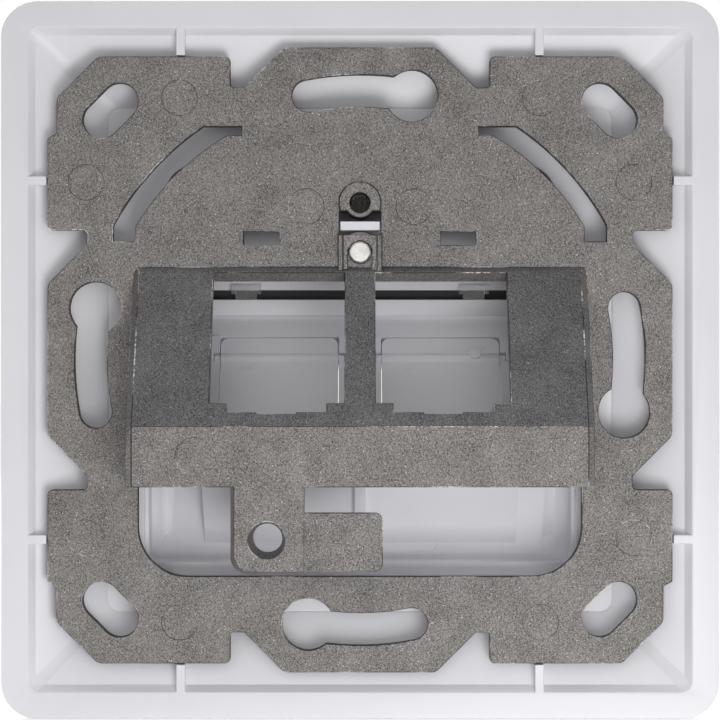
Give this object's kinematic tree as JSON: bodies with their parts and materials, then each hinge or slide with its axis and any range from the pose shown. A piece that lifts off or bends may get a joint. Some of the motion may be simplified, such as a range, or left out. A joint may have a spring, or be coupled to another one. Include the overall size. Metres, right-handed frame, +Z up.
{
  "type": "flush mount data outlet",
  "caption": "Square wall outlet for snap-in data jacks: cast support ring with a sloped module box, cover frame, centre plate with dust shutters and a label window.",
  "frame": {"origin": "centre of the 60 mm screw circle, in the wall plane that the support ring's back lies on", "axes": "+Y points into the wall, -Y at the room, +Z up and +X to the right for someone who faces the plate"},
  "size_m": [0.08, 0.0207, 0.08],
  "materials": {
    "cast_zinc": "as-cast zinc alloy, fine sparkling grain with bright worn edges",
    "white_plastic": "pure white, satin inside and glossy on the room side",
    "clear_plastic": "clear moulded plastic",
    "printed_card": "thin card, white at the front and black at the back",
    "plated_steel": "bright zinc plating"
  },
  "bodies": {
    "outlet": {"support_ring": "cast_zinc", "module_box": "cast_zinc", "cover_frame": "white_plastic", "centre_plate": "white_plastic", "label_window": "clear_plastic", "label_strip": "printed_card", "centre_screw": "plated_steel"},
    "shutter_left": {"shutter_left": "white_plastic"},
    "shutter_right": {"shutter_right": "white_plastic"}
  },
  "joints": [
    {"name": "shutter_left_hinge", "type": "hinge", "parent": "outlet", "child": "shutter_left", "pos_m": [-0.00915, -0.00607, 0.00002], "axis": [-1, 0, 0], "range_deg": [0, 90]},
    {"name": "shutter_right_hinge", "type": "hinge", "parent": "outlet", "child": "shutter_right", "pos_m": [0.00915, -0.00607, 0.00002], "axis": [-1, 0, 0], "range_deg": [0, 90]}
  ]
}
